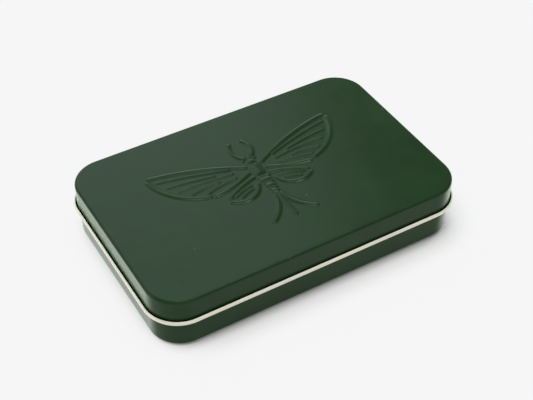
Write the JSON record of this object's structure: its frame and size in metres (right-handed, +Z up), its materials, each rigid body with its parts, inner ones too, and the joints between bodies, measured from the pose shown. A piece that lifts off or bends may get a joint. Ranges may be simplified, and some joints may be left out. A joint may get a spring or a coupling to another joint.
{
  "type": "fly box",
  "caption": "Pocket tin for fishing flies: pressed steel with rounded corners, a rolled bead round the hinged lid, a pressed insect on top and slit foam inside.",
  "frame": {"origin": "under the middle of the base, on the surface that the box stands on", "axes": "+X along the long side, front towards -Y, hinge towards +Y, +Z up"},
  "size_m": [0.1226, 0.08, 0.0227],
  "materials": {
    "green_lacquer": "satin dark green lacquer outside, ivory lacquer inside and on the rolled bead",
    "pin_steel": "drawn steel wire",
    "foam_grey": "closed-cell foam, matt, knife-slit",
    "adhesive_film": "thin double-sided film"
  },
  "bodies": {
    "base": {"base_shell": "green_lacquer", "hinge_leaf_left": "green_lacquer", "hinge_leaf_right": "green_lacquer", "hinge_pin_left": "pin_steel", "hinge_pin_right": "pin_steel", "base_foam_pad": "foam_grey", "base_pad_adhesive": "adhesive_film"},
    "lid": {"lid_shell": "green_lacquer", "lid_foam_pad": "foam_grey", "lid_pad_adhesive": "adhesive_film"}
  },
  "joints": [
    {"name": "lid_hinge", "type": "hinge", "parent": "base", "child": "lid", "pos_m": [0, 0.03923, 0.0129], "axis": [-1, 0, 0], "range_deg": [0, 180]}
  ]
}
